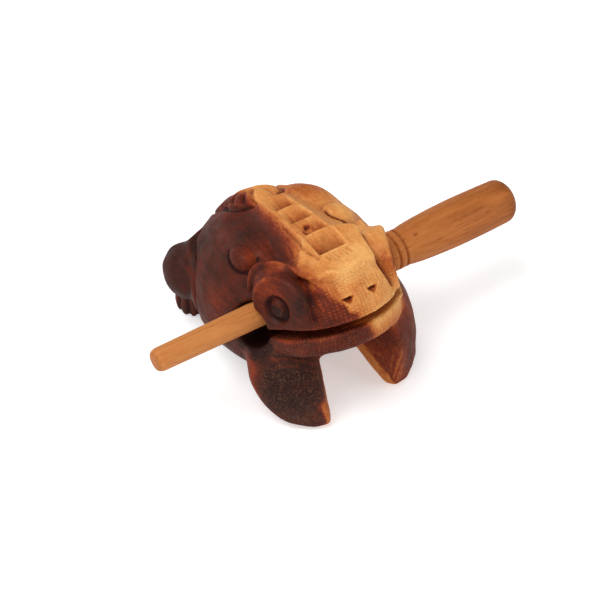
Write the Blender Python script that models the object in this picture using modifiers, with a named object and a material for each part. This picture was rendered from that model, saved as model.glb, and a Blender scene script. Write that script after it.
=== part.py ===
"""A carved frog rasp with a loose striker stick kept in the hole through its mouth.

Metres, +Z up. The frog faces -Y, its right side is -X, and it stands on z = 0.
"""
from math import cos, radians, sin

import bmesh
import bpy
from mathutils import Matrix, Vector

# Frog: centres, half sizes and tilts of the carved masses
BODY_CENTRE = Vector((0.0, 0.0, 0.0268))
BODY_RADII = (0.031, 0.0345, 0.028)
BODY_TILT = radians(10)
HEAD_CENTRE = Vector((0.0, -0.0265, 0.041))
HEAD_RADII = (0.0205, 0.0205, 0.0195)
JAW_CENTRE = Vector((0.0, -0.026, 0.034))
JAW_RADII = (0.0225, 0.023, 0.0075)
MOUTH_TILT = radians(28.4)
EYE_CENTRE = Vector((0.0195, -0.0235, 0.0455))
EYE_RADII = (0.0055, 0.0085, 0.0115)
EYE_TILT = radians(-33)
EAR_CENTRE = Vector((0.0180, -0.0055, 0.0465))
EAR_RADIUS = 0.0055
RUMP_CENTRE = Vector((0.0, 0.024, 0.0355))
RUMP_RADIUS = 0.0092
HIND_LEG_CENTRE = Vector((0.023, 0.022, 0.021))
HIND_LEG_RADII = (0.008, 0.009, 0.0125)
HIND_FOOT_CENTRE = Vector((0.0190, 0.0275, 0.005))
HIND_FOOT_RADII = (0.0065, 0.0065, 0.0075)

# Back ridge under the strip, rear and front: centres and radii
BACK_RIDGE = (
    (Vector((0.0, 0.008, 0.0375)), 0.0145),
    (Vector((0.0, -0.025, 0.0460)), 0.0140),
)

# Front leg from the shoulder to the tip of the foot: centres and radii
FRONT_LEG = (
    (Vector((0.0218, -0.0210, 0.0260)), 0.0085),
    (Vector((0.0218, -0.0220, 0.0170)), 0.0080),
    (Vector((0.0208, -0.0290, 0.0106)), 0.0070),
    (Vector((0.0138, -0.0300, 0.0280)), 0.0050),
    (Vector((0.0100, -0.0240, 0.0170)), 0.0050),
    (Vector((0.0148, -0.0314, 0.0190)), 0.0040),
    (Vector((0.0138, -0.0380, 0.0025)), 0.0030),
)
FRONT_LEG_SHIFT = Vector((0.0018, 0.0, 0.0))

# Notched strip along the back
STRIP_FRONT = (-0.027, 0.062)
STRIP_REAR = (0.010, 0.0535)
STRIP_WIDTH = 0.0095
STRIP_DEPTH = 0.010
TOOTH_COUNT = 4
TOOTH_DROP = 0.0025

# Hollow belly, stick hole and mouth slit
BELLY_CENTRE = Vector((0.0, 0.001, 0.027))
BELLY_RADII = (0.019, 0.023, 0.018)
HOLE_CENTRE = Vector((0.0, -0.0180, 0.0356))
HOLE_RADIUS = 0.0067
SLIT_GAP = 0.0025
LIP_FRONT = Vector((0.0, -0.0466, 0.0477))

# Striker stick: its axis, and its ends and steps along X
STICK_AXIS = Vector((0.0, -0.017, 0.0372))
STICK_TIP_X = -0.060
STICK_END_X = 0.076
SHOULDER_X = 0.0258
TIP_RADIUS = 0.0039
TIP_FACE_RADIUS = 0.0026
TIP_BEVEL = 0.0026
SHAFT_RADIUS = 0.0045
GAP = 0.0004
COLLAR_RADIUS = 0.0063
GROOVE_DEPTH = 0.0007
GROOVE_WIDTH = 0.0012
GROOVE_PLACES = (0.0285, 0.0313)

# Handle: places on X and radii from its thickest parts to its neck, and the dome on its end
HANDLE_SWELL = ((0.0640, 0.0076), (0.0540, 0.0077), (0.0460, 0.0075), (0.0380, 0.0070))
HANDLE_END_RADIUS = 0.0074
DOME_LENGTH = 0.0050
DOME_STEPS = 5

# Cutters: the block below the floor, and how far the hole and the slit are cut past the frog
FLOOR_BLOCK = (0.2, 0.2, 0.02)
HOLE_REACH = 0.05
SLIT_WIDTH = 0.1
SLIT_OVERRUN = 1.5

# Mesh density
VOXEL = 0.0011
SMOOTH_FACTOR = 0.5
SMOOTH_ROUNDS = 6
KEPT_FACES = 0.11
BALL_SEGMENTS = 24
TURN_STEPS = 32
MERGE_DISTANCE = 0.00001

# Woods: colour and roughness
SCORCHED_WOOD = ((0.23, 0.085, 0.035), 0.55)
LIGHT_WOOD = ((0.55, 0.26, 0.10), 0.5)


def empty_scene():
    """Remove everything the start-up scene holds."""
    for item in list(bpy.data.objects):
        bpy.data.objects.remove(item)


def new_collection(name):
    """Make a collection in the scene."""
    collection = bpy.data.collections.new(name)
    bpy.context.scene.collection.children.link(collection)
    return collection


def new_object(name, bm, collection):
    """Turn a bmesh into a named object."""
    bmesh.ops.recalc_face_normals(bm, faces=bm.faces)
    mesh = bpy.data.meshes.new(name)
    bm.to_mesh(mesh)
    bm.free()
    item = bpy.data.objects.new(name, mesh)
    collection.objects.link(item)
    return item


def new_guide(name, bm):
    """Make a cutter or guide: kept out of the render, drawn as wire."""
    item = new_object(name, bm, guides)
    item.hide_render = True
    item.display_type = 'WIRE'
    return item


def wood(name, colour, roughness):
    """A plain Principled material."""
    material = bpy.data.materials.new(name)
    material.use_nodes = True
    shader = material.node_tree.nodes["Principled BSDF"]
    shader.inputs["Base Color"].default_value = (*colour, 1.0)
    shader.inputs["Roughness"].default_value = roughness
    return material


def add_ellipsoid(bm, centre, radii, tilt=0.0):
    """Add an ellipsoid, turned about X by the tilt."""
    place = Matrix.Translation(centre) @ Matrix.Rotation(tilt, 4, 'X') @ Matrix.Diagonal((*radii, 1.0))
    bmesh.ops.create_uvsphere(
        bm, u_segments=BALL_SEGMENTS, v_segments=BALL_SEGMENTS // 2, radius=1.0, matrix=place)


def add_hull(bm, balls):
    """Add one convex skin round a few balls."""
    solid = bmesh.new()
    for centre, radius in balls:
        add_ellipsoid(solid, centre, (radius, radius, radius))
    points = [vertex.co.copy() for vertex in solid.verts]
    solid.free()
    corners = [bm.verts.new(point) for point in points]
    hull = bmesh.ops.convex_hull(bm, input=corners)
    spare = [item for item in hull["geom_interior"] if isinstance(item, bmesh.types.BMVert)]
    bmesh.ops.delete(bm, geom=spare, context='VERTS')


def on_side(point, side):
    """A point of the left side, or its mirror image."""
    return Vector((point.x * side, point.y, point.z))


def extrude_outline(outline, width):
    """A solid of the given width about x = 0 from an outline of (y, z) points."""
    bm = bmesh.new()
    corners = [bm.verts.new((-width / 2, y, z)) for y, z in outline]
    face = bm.faces.new(corners)
    grown = bmesh.ops.extrude_face_region(bm, geom=[face])
    moved = [v for v in grown["geom"] if isinstance(v, bmesh.types.BMVert)]
    bmesh.ops.translate(bm, verts=moved, vec=(width, 0.0, 0.0))
    return bm


def combine(item, operation, other):
    """Add a Boolean to an object's modifiers."""
    modifier = item.modifiers.new(other.name, 'BOOLEAN')
    modifier.operation = operation
    modifier.solver = 'EXACT'
    modifier.object = other


def build_masses():
    """The frog's outer shape as overlapping masses."""
    bm = bmesh.new()
    add_ellipsoid(bm, BODY_CENTRE, BODY_RADII, -BODY_TILT)
    add_ellipsoid(bm, HEAD_CENTRE, HEAD_RADII)
    add_ellipsoid(bm, JAW_CENTRE, JAW_RADII, -MOUTH_TILT)
    add_ellipsoid(bm, RUMP_CENTRE, (RUMP_RADIUS, RUMP_RADIUS, RUMP_RADIUS))
    add_hull(bm, BACK_RIDGE)
    for side in (-1, 1):
        add_ellipsoid(bm, on_side(EYE_CENTRE, side), EYE_RADII, EYE_TILT)
        add_ellipsoid(bm, on_side(EAR_CENTRE, side), (EAR_RADIUS, EAR_RADIUS, EAR_RADIUS))
        add_ellipsoid(bm, on_side(HIND_LEG_CENTRE, side), HIND_LEG_RADII)
        add_ellipsoid(bm, on_side(HIND_FOOT_CENTRE, side), HIND_FOOT_RADII)
        add_hull(bm, [(on_side(centre, side) + FRONT_LEG_SHIFT, radius) for centre, radius in FRONT_LEG])
    return bm


def strip_outline():
    """The strip's side view: each tooth slopes down to the front, the next starts with a step up."""
    front_y, front_z = STRIP_FRONT
    rear_y, rear_z = STRIP_REAR
    outline = []
    for tooth in range(TOOTH_COUNT):
        for part, drop in ((tooth / TOOTH_COUNT, 0.0), ((tooth + 1) / TOOTH_COUNT, TOOTH_DROP)):
            y = rear_y + (front_y - rear_y) * part
            z = rear_z + (front_z - rear_z) * part - drop
            outline.append((y, z))
    outline.append((front_y, front_z - STRIP_DEPTH))
    outline.append((rear_y, rear_z - STRIP_DEPTH))
    return outline


def slab(size, place):
    """A box of the given size, placed by a matrix."""
    bm = bmesh.new()
    bmesh.ops.create_cube(bm, size=1.0, matrix=place @ Matrix.Diagonal((*size, 1.0)))
    return bm


def rod(axis, radius, start, end):
    """A round rod along X through a point, between two places on X."""
    bm = bmesh.new()
    middle = Vector(((start + end) / 2, axis.y, axis.z))
    bmesh.ops.create_cone(
        bm, cap_ends=True, segments=TURN_STEPS, radius1=radius, radius2=radius, depth=end - start,
        matrix=Matrix.Translation(middle) @ Matrix.Rotation(radians(90), 4, 'Y'))
    return bm


def build_frog():
    """The frog: smoothed masses, the strip added, then the hollows cut."""
    frog = new_object("frog_body", build_masses(), parts)
    remesh = frog.modifiers.new("blend", 'REMESH')
    remesh.mode = 'VOXEL'
    remesh.voxel_size = VOXEL
    remesh.use_smooth_shade = True
    smooth = frog.modifiers.new("smooth", 'SMOOTH')
    smooth.factor = SMOOTH_FACTOR
    smooth.iterations = SMOOTH_ROUNDS
    decimate = frog.modifiers.new("decimate", 'DECIMATE')
    decimate.ratio = KEPT_FACES

    combine(frog, 'UNION', new_guide("strip", extrude_outline(strip_outline(), STRIP_WIDTH)))

    floor_place = Matrix.Translation((0.0, 0.0, -FLOOR_BLOCK[2] / 2))
    combine(frog, 'DIFFERENCE', new_guide("floor_cut", slab(FLOOR_BLOCK, floor_place)))

    belly = bmesh.new()
    add_ellipsoid(belly, BELLY_CENTRE, BELLY_RADII)
    combine(frog, 'DIFFERENCE', new_guide("belly_cut", belly))

    hole = rod(HOLE_CENTRE, HOLE_RADIUS, -HOLE_REACH, HOLE_REACH)
    combine(frog, 'DIFFERENCE', new_guide("hole_cut", hole))
    seat = rod(STICK_AXIS, COLLAR_RADIUS + GAP, SHOULDER_X - GAP, HOLE_REACH)
    combine(frog, 'DIFFERENCE', new_guide("collar_seat_cut", seat))

    slit_length = (HOLE_CENTRE.y - LIP_FRONT.y) / cos(MOUTH_TILT)
    slit_size = (SLIT_WIDTH, slit_length * SLIT_OVERRUN, SLIT_GAP)
    slit_place = (
        Matrix.Translation(LIP_FRONT) @ Matrix.Rotation(-MOUTH_TILT, 4, 'X')
        @ Matrix.Translation((0.0, slit_length - slit_size[1] / 2, -SLIT_GAP / 2)))
    combine(frog, 'DIFFERENCE', new_guide("slit_cut", slab(slit_size, slit_place)))

    frog.data.materials.append(wood("scorched_wood", *SCORCHED_WOOD))
    return frog


def stick_profile():
    """The stick's outline as (distance along the axis, radius), from the handle's end to the tip."""
    profile = []
    for step in range(DOME_STEPS + 1):
        turn = radians(90) * step / DOME_STEPS
        along = STICK_END_X - DOME_LENGTH * (1 - cos(turn))
        profile.append((along, HANDLE_END_RADIUS * sin(turn)))
    profile.extend(HANDLE_SWELL)
    profile.append((GROOVE_PLACES[-1] + GROOVE_WIDTH, COLLAR_RADIUS))
    for place in reversed(GROOVE_PLACES):
        profile.append((place + GROOVE_WIDTH / 2, COLLAR_RADIUS))
        profile.append((place, COLLAR_RADIUS - GROOVE_DEPTH))
        profile.append((place - GROOVE_WIDTH / 2, COLLAR_RADIUS))
    profile.append((SHOULDER_X, COLLAR_RADIUS))
    profile.append((SHOULDER_X, SHAFT_RADIUS))
    profile.append((STICK_TIP_X + TIP_BEVEL, TIP_RADIUS))
    profile.append((STICK_TIP_X, TIP_FACE_RADIUS))
    profile.append((STICK_TIP_X, 0.0))
    return profile


def build_stick():
    """The striker stick: its outline turned about X."""
    bm = bmesh.new()
    rim = [bm.verts.new((radius, 0.0, along)) for along, radius in stick_profile()]
    for first, second in zip(rim, rim[1:]):
        bm.edges.new((first, second))
    mesh = bpy.data.meshes.new("striker_stick")
    bm.to_mesh(mesh)
    bm.free()
    stick = bpy.data.objects.new("striker_stick", mesh)
    parts.objects.link(stick)
    stick.location = STICK_AXIS
    stick.rotation_euler = (0.0, radians(90), 0.0)
    turned = stick.modifiers.new("turned", 'SCREW')
    turned.axis = 'Z'
    turned.steps = TURN_STEPS
    turned.render_steps = TURN_STEPS
    turned.use_merge_vertices = True
    turned.merge_threshold = MERGE_DISTANCE
    stick.data.materials.append(wood("light_wood", *LIGHT_WOOD))
    return stick


empty_scene()
parts = new_collection("frog_guiro")
guides = new_collection("guides")
build_frog()
build_stick()
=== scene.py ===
"""The looks of the frog rasp: a carved, scorched frog and its turned striker stick.

The frog is sculpted as clay, a grid of signed distances that shapes are pressed onto and cut from, then
made into one closed mesh. Sculpting is in millimetres in the part's frame: the frog faces -Y, its right
is -X, and it stands on z = 0. A side is -1 for right and 1 for left; what both share is given for left.
"""
from math import cos, pi, radians, sin

import bmesh
import bpy
import numpy as np
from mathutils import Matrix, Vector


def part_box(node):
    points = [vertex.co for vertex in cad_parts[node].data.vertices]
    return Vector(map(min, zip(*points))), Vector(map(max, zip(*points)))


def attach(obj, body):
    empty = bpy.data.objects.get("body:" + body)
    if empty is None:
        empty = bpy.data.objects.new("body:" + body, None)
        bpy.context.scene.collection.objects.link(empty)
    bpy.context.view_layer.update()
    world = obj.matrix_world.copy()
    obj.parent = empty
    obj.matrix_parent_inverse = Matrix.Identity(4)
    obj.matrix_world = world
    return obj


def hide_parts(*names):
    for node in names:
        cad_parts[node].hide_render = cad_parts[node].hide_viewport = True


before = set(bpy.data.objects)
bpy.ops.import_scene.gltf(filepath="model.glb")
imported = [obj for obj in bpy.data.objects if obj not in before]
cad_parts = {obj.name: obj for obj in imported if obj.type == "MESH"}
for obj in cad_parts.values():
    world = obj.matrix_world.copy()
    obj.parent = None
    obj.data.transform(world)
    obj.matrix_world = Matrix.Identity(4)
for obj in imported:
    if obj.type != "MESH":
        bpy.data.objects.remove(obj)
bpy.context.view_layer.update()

import openvdb
from mathutils import Matrix, Vector

MM = 0.001
SIDES = (-1, 1)
TINY = 1e-6

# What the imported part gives, in millimetres
FROG_LOW, FROG_HIGH = (np.array(corner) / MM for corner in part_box("frog_body"))
STICK_LOW, STICK_HIGH = (np.array(corner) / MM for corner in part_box("striker_stick"))
STICK_AXIS = (STICK_LOW + STICK_HIGH) / 2

# Clay: grid step, room around the frog and the triangles kept
CLAY_STEP = 0.45
CLAY_ROOM = 3
FAR = 30
LEAST_SLOPE = 0.1
KEPT_TRIANGLES = 180000

# Big masses: a lump is (centre, radii), a point of a bar or groove is (x, y, z, radius)
BODY = ((0, 0, 26.8), (31, 34.5, 28))
BODY_TILT = radians(-10)
HEAD = ((0, -26.5, 41), (20.5, 20.5, 19.5))
RIDGE = ((0, 8, 38.3, 13), (0, -25, 46.4, 13.2))
LEFT_HUMP = ((13.5, 7, 43.7), (8, 10, 7.5))
BACK_FURROW = ((8.2, 12, 51, 7), (8.6, 4, 53.5, 7), (9, -5, 55.5, 7), (9.5, -12, 57, 5))

# Mouth and stick hole, with middles as (y, z); a disc is (centre, radii, half depth, rounding)
MOUTH_TILT = radians(28.4)
MOUTH_MIDDLE = (-26.5, 36.8)
MOUTH_TOP = 1.35
MOUTH_BOTTOM = -2.1
JAW = ((0, -26.3, 31.6), (22.3, 22.4), 4.1, 2.6)
HOLE_MIDDLE = (-18, 35.6)
HOLE_RADIUS = 6.7
FLARE = ((-26, -18.5, 31.5, 5.5), (-12, -15, 30, 6))
BELLY = ((0, 1, 27), (19, 23, 18))

# Top of the head: a flat cap, parted from the eye lobes by valleys
CAP = ((1.5, -25.4, 50), (14.8, 10.6), 10.7, 1.8)
CAP_TILT = radians(3)
CAP_FURROW = ((-9.2, -9, 56, 4), (-9.6, -15, 57, 4.5), (-9.8, -21, 58, 4.5), (-9.6, -24, 59, 3))
SNOUT_DIP = ((-5, -38.5, 57, 6), (5, -38.5, 57, 6))
VALLEYS = {
    -1: ((-20, -15, 60.5, 6), (-20.2, -25, 61.5, 8), (-18.6, -36, 60, 8)),
    1: ((20, -15, 60.5, 6), (19.8, -25, 61.8, 8), (18.5, -36, 60, 8)),
}

# Brows by side, and the crest in front of the cap
BROWS = {
    -1: ((-22.4, -12.6, 44.5, 0.5), (-21.4, -12, 47.5, 0.9), (-19.8, -11, 49.8, 1.1),
         (-17.5, -11.6, 51.6, 1.2), (-16, -13.4, 52.6, 1.2), (-14.6, -15.6, 53.6, 1.3),
         (-13.4, -18.4, 54.8, 1.3), (-12.8, -22.4, 56.5, 1.2), (-12, -26.5, 57.6, 1.1),
         (-10.7, -30.4, 58.6, 1)),
    1: ((22.4, -12.6, 44.5, 0.5), (21.4, -12, 48, 0.9), (19.6, -12.6, 51.3, 1.1), (18, -17, 53, 1.2),
        (16.4, -22, 54.4, 0.8)),
}
CREST = (*BROWS[-1][-2:], (-8.6, -32.3, 59.5, 1.1), (-5.4, -33, 60, 1.1), (-2.5, -34, 59.4, 0.8),
         (0.8, -34.4, 59.6, 1.1), (5, -33.2, 60, 1.2), (9.5, -31, 59.6, 1.2), (14, -28.2, 57.4, 1))

# Eye lobes: upright discs; a groove is (share of the oval, start and end in degrees, radius)
EYE_CENTRE = (17, -26, 45.3)
EYE_RADII = (10.7, 12)
EYE_HALF_DEPTHS = {-1: 3.8, 1: 5.2}
EYE_ROUNDING = 1.5
EYE_FACES = (0.9, -0.38, 0.22)
EYE_UP = (0, 0.62, 0.78)
EYE_MOAT = (1.08, -22, 60, 2.4)
RING_CENTRE = (21, -26.4, 46.4)
RING_RADII = (3.5, 3.9)
RING_GROOVE = (1, 0, 360, 1.2)
RING_POINTS = 25
EYELID = ((17.6, -17, 47.6), (4.8, 6, 6))
CHEEK = ((25, 0, 40, 0.5), (24.8, -6, 40.5, 1.3), (23.5, -12.5, 42, 0.9))

# Nostrils: three-cornered pits with the tip down, sized as (half width, half height, depth, reach)
NOSTRIL_MIDDLE = (0.75, -41.2, 53.8)
NOSTRIL_APART = 9
NOSTRIL_SIZE = (1.9, 1.15, 2.4, 3)
NOSTRIL_FACES = (0, -0.7, 0.7)

# Ears by side: centre, radii, and creases given as the eyes' grooves are
EARS = {
    -1: ((-17.6, -3.1, 47.2), (5.7, 4, 5.4), ((1.03, 200, 400, 0.6),)),
    1: ((17.4, -4, 47.4), (5.2, 7.4, 4.2), ((1, 85, 262, 0.55), (1.3, 125, 190, 0.4))),
}
EAR_FACES = (0.72, -0.1, 0.68)

# Front legs: toes as (x, y) by side, the way the broad face runs, and how fast the back leans
TOES = {-1: (-13, -38.7), 1: (17.5, -37.1)}
LEG_TURN = (0.7, 0.714)
LEG_MIDDLES = {-1: 0.5, 1: 3.3}
LEG_BACK_LEAN = 1.15
LEG_BOX = ((-30, -48, -2), (30, -10, 34))

# Hind legs: toe grooves run through (z, radius) at angles round the foot
THIGH = ((18, 18, 26), (10, 11, 13.6))
THIGH_CREASE = ((13, 28, 37, 0.6), (19, 23.5, 37, 1.4), (24.5, 17, 35.5, 1.7), (27.5, 11.5, 32, 1.7),
                (29, 8, 26, 1.7), (29, 8, 18, 1.5), (27, 10, 8, 1))
KNEE = ((23.9, 22.4, 24.2), (8.2, 9, 10))
SHANK = ((20.5, 24, 17, 5.5), (18.8, 27, 8, 5.2))
FOOT = ((19.2, 28.4, 5.5), (5.9, 6.6, 10.5))
TOE_ANGLES = (-25, 10, 60, 95, 130, 165)
TOE_GROOVE = ((-1, 0.8), (4, 0.9), (12, 0.8))

# Notched strip: each tread's raised rear edge as (y, z), rear to front, then the front end
TREAD_EDGES = ((11.3, 53.2), (2.3, 55.9), (-6.9, 58.2), (-15.7, 60.2), (-25.9, 61))
STRIP_MIDDLES = (0.4, 0.9)
TREAD_HALVES = (5.2, 3.8)
STRIP_RAIL = 0.6
STRIP_SLOPES = (0.8, 1.2)
STRIP_BOX = ((-13, -26.9, 44), (13, 12.3, 63))
TREAD_DEPTHS = (2.2, 2.2, 2.4, 1.4)
SCOOP_FULL = (-0.2, -0.2, 0, -0.8)
SCOOP_LEFT_END = (1.1, 0.7)

# Chisel marks: a line along the strip, a row of nicks in front of it, and the pit of a knot
CHISEL_LINE = ((-5.6, -6, 57, 0.6), (-6.2, -14, 58.6, 0.8), (-6.4, -22, 60, 0.8), (-5.6, -26.5, 61, 0.6))
NICKS_X = np.arange(-3, 5, 1.5)
NICK_START = (-27.2, 61.2)
NICK_LENGTHS = (1.4, 2.4, 1.8)
NICK_SLANT = 0.6
NICK_RADIUS = 0.7
CHISEL_DEPTH = 0.5
TREAD_KNOT = ((0.5, -10.4, 58, 0.9), (-0.8, -11.8, 58.2, 0.6), (-1.9, -13.4, 58.5, 0.8))

# Rump: lumps as (y, z, half width, tilt in degrees), and chevron grooves as half width, then (y, z) at
# the sides and the middle, with radii for sides, slopes and middle
RUMP_LUMPS = ((15.4, 47.6, 5.8, -30), (19.4, 45.2, 7.6, -38), (23.4, 41, 9, -46), (27.2, 36.4, 9, -54))
RUMP_RADII = (3.6, 4.6)
RUMP_CREASE = ((4.6, 11.8, 52, 0.5), (6.2, 14, 50.3, 0.9), (8.6, 16.2, 49, 1.1), (9.6, 19, 47.3, 1.2),
               (9.8, 22.6, 43.9, 1.2), (9.8, 27, 39, 1), (8, 31, 33, 0.4))
RUMP_CHEVRONS = ((4.3, 11.5, 52.6, 19.5, 50), (6.4, 14.6, 50, 22.8, 48),
                 (8.6, 17.2, 48.4, 26, 44.8), (9.5, 21, 45, 29, 40))
CHEVRON_RADII = (0.5, 0.9, 1)
CHEVRON_SHARE = 0.7
CHEVRON_RISE = 1.2

# Unevenness left by the knife: waves are (turn per millimetre along x, y and z, start)
KNIFE_HEIGHT = 0.2
KNIFE_WAVES = ((0.62, 0.3, 0, 0), (0, 0.55, -0.2, 1), (0.25, 0, 0.5, 2))

# Stick, along X; the handle's swell is (share of its length, share of its radius)
SHOULDER_X = 25.8
TIP_RADIUS = 3.9
SHAFT_RADIUS = 4.5
SHAFT_SHARES = np.linspace(0.05, 1, 30)
COLLAR_RADIUS = 6.3
COLLAR_BEVEL = 0.3
COLLAR_SWELL = 0.12
SEAT_GAP = 0.4
GROOVE_PLACES = (28.5, 31.3)
GROOVE_DEPTH = 0.7
GROOVE_WIDTH = 1.2
GROOVE_CURVE = 1.5
GROOVE_STEPS = 9
HANDLE_RADIUS = (STICK_HIGH[2] - STICK_LOW[2]) / 2
HANDLE_SWELL = ((0.14, 0.91), (0.35, 0.974), (0.56, 1), (0.82, 0.987), (1, 0.96))
SWELL_STEPS = 8
DOME_LENGTH = 5
DOME_STEPS = 14
SEGMENTS = 96
JOIN_DISTANCE = 0.01
SHARP_ANGLE = radians(50)


class Shape:
    """A solid: a function for the distance to its skin, and the box it is in."""

    def __init__(self, distance, low, high):
        self.distance = distance
        self.low = np.array(low, float)
        self.high = np.array(high, float)


class Clay:
    """Clay: a grid of signed distances in millimetres, negative inside."""

    def __init__(self, low, high, step):
        self.low = np.array(low, float)
        self.step = step
        counts = np.ceil((np.array(high) - self.low) / step).astype(int) + 1
        self.field = np.full(counts, FAR, np.float32)

    def places(self, window):
        """The x, y and z of the grid points in a window."""
        axes = [self.low[i] + self.step * np.arange(s.start, s.stop) for i, s in enumerate(window)]
        return np.meshgrid(*axes, indexing="ij", sparse=True)

    def window(self, shape, margin):
        """The part of the grid that a shape can change."""
        first = np.floor((shape.low - margin - self.low) / self.step).astype(int)
        last = np.ceil((shape.high + margin - self.low) / self.step).astype(int) + 1
        sizes = self.field.shape
        return tuple(slice(max(a, 0), max(min(b, n), 0)) for a, b, n in zip(first, last, sizes))

    def add(self, shape, soft, sign=1):
        """Press a shape on, with a fillet about as wide as soft; a sign of -1 carves it away."""
        window = self.window(shape, soft + 2 * self.step)
        distance = shape.distance(*self.places(window))
        self.field[window] = sign * smooth_min(sign * self.field[window], distance, soft)

    def cut(self, shape, soft):
        """Carve a shape away, with an edge rounded by about soft."""
        self.add(shape, soft, sign=-1)

    def slope(self, points):
        """How the distance grows at points, along x, y and z."""
        reach = np.eye(3) * self.step
        rise = [self.sample(points + r) - self.sample(points - r) for r in reach]
        return np.array(rise).T / (2 * self.step)

    def onto_skin(self, points, lift=0, rounds=6):
        """Points moved onto the skin, or a given height above it."""
        points = np.array(points, float)
        for _ in range(rounds):
            slope = self.slope(points)
            steepness = np.maximum((slope ** 2).sum(axis=1), LEAST_SLOPE)
            points = points - (self.sample(points) / steepness)[:, None] * slope
        slope = self.slope(points)
        steepness = np.maximum(length(*slope.T), LEAST_SLOPE)
        return points + slope * (lift / steepness)[:, None]

    def groove(self, points, soft, steps=6, depth=None):
        """Carve a line along the skin, half round or as deep as given."""
        path = np.array(smooth_path(points, steps))
        lift = 0 * path[:, 3] if depth is None else path[:, 3] - depth
        path[:, :3] = self.onto_skin(path[:, :3], lift)
        self.cut(limb(path), soft)

    def sample(self, points, field=None):
        """Values of a field at points, by linear interpolation."""
        field = self.field if field is None else field
        at = (points - self.low) / self.step
        base = np.clip(np.floor(at).astype(int), 0, np.array(field.shape) - 2)
        part = at - base
        total = np.zeros(len(points))
        for corner in np.ndindex(2, 2, 2):
            share = np.prod(np.where(corner, part, 1 - part), axis=1)
            total += share * field[tuple((base + corner).T)]
        return total


def smooth_min(a, b, soft):
    """The smaller of two distances, blended where they are within soft."""
    if soft <= 0:
        return np.minimum(a, b)
    overlap = np.maximum(soft - np.abs(a - b), 0) / soft
    return np.minimum(a, b) - overlap * overlap * soft / 4


def smooth_max(a, b, soft):
    """The larger, blended in the same way."""
    return -smooth_min(-a, -b, soft)


def length(*parts):
    """Length of a vector given by its parts."""
    return np.sqrt(sum(part * part for part in parts))


def turned(x, y, z, centre, axes):
    """Places from a centre, along axes given as rows."""
    from_centre = (x - centre[0], y - centre[1], z - centre[2])
    return [sum(a * p for a, p in zip(axis, from_centre)) for axis in axes]


def axes_about_x(angle):
    """Axes turned about X, as rows."""
    return ((1, 0, 0), (0, cos(angle), sin(angle)), (0, -sin(angle), cos(angle)))


def axes_facing(normal, up=(0, 0, 1)):
    """Axes with a normal as third row and the second as near to up as can be."""
    third = Vector(normal).normalized()
    first = Vector(up).cross(third).normalized()
    return (first, third.cross(first), third)


UPRIGHT = axes_about_x(0)


def oval_distance(places, radii):
    """Distance to the skin of an ellipsoid or oval."""
    near = length(*(p / r for p, r in zip(places, radii)))
    slope = length(*(p / r ** 2 for p, r in zip(places, radii)))
    return near * (near - 1) / np.maximum(slope, TINY)


def ellipsoid(centre, radii, axes=UPRIGHT):
    """A solid ellipsoid."""
    def distance(x, y, z):
        return oval_distance(turned(x, y, z, centre, axes), radii)
    reach = max(radii)
    return Shape(distance, np.array(centre) - reach, np.array(centre) + reach)


def smooth_path(points, steps=6):
    """A smooth curve through points, which may carry a radius after their place."""
    points = [np.array(p, float) for p in points]
    ends = [2 * points[0] - points[1]] + points + [2 * points[-1] - points[-2]]
    path = []
    for a, b, c, d in zip(ends, ends[1:], ends[2:], ends[3:]):
        for t in np.arange(steps) / steps:
            bend = (2 * a - 5 * b + 4 * c - d) * t ** 2 + (3 * b - a - 3 * c + d) * t ** 3
            path.append(b + ((c - a) * t + bend) / 2)
    return path + [points[-1]]


def limb(points):
    """A round bar through points."""
    points = [np.array(p, float) for p in points]

    def distance(x, y, z):
        nearest = FAR
        for a, b in zip(points, points[1:]):
            run = b[:3] - a[:3]
            from_a = (x - a[0], y - a[1], z - a[2])
            along = sum(p * r for p, r in zip(from_a, run)) / max(run @ run, TINY)
            along = np.clip(along, 0, 1)
            off = length(*(p - along * r for p, r in zip(from_a, run)))
            nearest = np.minimum(nearest, off - (a[3] + along * (b[3] - a[3])))
        return nearest
    places = np.array([p[:3] for p in points])
    reach = max(p[3] for p in points)
    return Shape(distance, places.min(axis=0) - reach, places.max(axis=0) + reach)


def stroke(points):
    """A round bar along a smooth curve."""
    return limb(smooth_path(points))


def coin(centre, radii, half_depth, rounding, axes):
    """An oval disc with a rounded rim that faces along the third axis."""
    def distance(x, y, z):
        u, v, w = turned(x, y, z, centre, axes)
        rim = oval_distance((u, v), radii) + rounding
        face = np.abs(w) - half_depth + rounding
        outside = length(np.maximum(rim, 0), np.maximum(face, 0))
        return outside + np.minimum(np.maximum(rim, face), 0) - rounding
    reach = max(*radii, half_depth)
    return Shape(distance, np.array(centre) - reach, np.array(centre) + reach)


def rod(start_x, end_x, y, z, radius):
    """A round bar along X."""
    def distance(px, py, pz):
        side = length(py - y, pz - z) - radius
        return np.maximum(side, np.maximum(start_x - px, px - end_x))
    return Shape(distance, (start_x, y - radius, z - radius), (end_x, y + radius, z + radius))


def on_side(point, side):
    """A point or direction given for the left, put on a side."""
    return (side * point[0], *point[1:])


def mirrored(points, side):
    """Points given for the left, put on a side."""
    return [on_side(point, side) for point in points]


def side_lump(lump, side):
    """A lump given for the left, put on a side."""
    centre, radii = lump
    return ellipsoid(on_side(centre, side), radii)


def oval(centre, radii, axes, share, start, end, thickness, count=17):
    """Points of a groove round an oval scaled by a share, between two angles in degrees."""
    right, up = (share * radii[i] for i in (0, 1))
    points = []
    for angle in np.linspace(radians(start), radians(end), count):
        place = centre + right * cos(angle) * np.array(axes[0]) + up * sin(angle) * np.array(axes[1])
        points.append((*place, thickness))
    return points


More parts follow.
